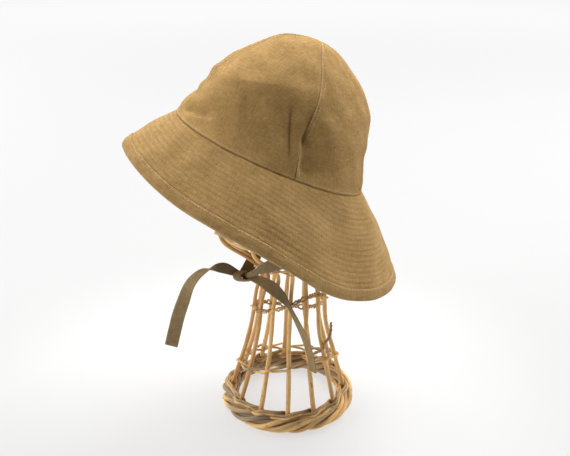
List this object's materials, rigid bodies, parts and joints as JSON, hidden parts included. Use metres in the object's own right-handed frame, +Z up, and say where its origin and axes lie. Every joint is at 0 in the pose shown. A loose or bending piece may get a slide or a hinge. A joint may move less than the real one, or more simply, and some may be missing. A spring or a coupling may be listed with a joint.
{
  "type": "canvas bucket hat on a wicker hat stand",
  "caption": "Soft canvas bucket hat with a panelled crown, a wide stitched brim and knotted chin ties, resting tipped back on a plain open wicker hat stand.",
  "frame": {"origin": "on the surface it stands on, under the middle of the outline of the hat and stand without the ties", "axes": "+Z up, -Y the way the hat's front faces, +X the wearer's left"},
  "size_m": [0.2788, 0.2694, 0.399],
  "materials": {
    "canvas": "matt tan cotton canvas",
    "hem_canvas": "matt tan cotton binding",
    "strap_canvas": "matt olive brown cotton strap",
    "willow": "peeled willow, satin",
    "weaver": "weathered willow weavers, satin"
  },
  "bodies": {
    "root": {"crown_panel_front_left": "canvas", "crown_panel_back_left": "canvas", "crown_panel_back_right": "canvas", "crown_panel_front_right": "canvas", "brim": "canvas", "brim_hem": "hem_canvas", "tie_left": "strap_canvas", "tie_right": "strap_canvas", "tail_left": "strap_canvas", "tail_right": "strap_canvas", "tie_knot": "strap_canvas", "cane_01": "willow", "cane_02": "willow", "cane_03": "willow", "cane_04": "willow", "cane_05": "willow", "cane_06": "willow", "cane_07": "willow", "cane_08": "willow", "cane_09": "willow", "cane_10": "willow", "cane_11": "willow", "cane_12": "willow", "foot_ring": "weaver", "top_ring": "weaver", "foot_twine_a": "weaver", "foot_twine_b": "weaver", "waist_twine_a": "weaver", "waist_twine_b": "weaver", "neck_twine_a": "weaver", "neck_twine_b": "weaver", "jaw_twine_a": "weaver", "jaw_twine_b": "weaver"}
  },
  "joints": []
}
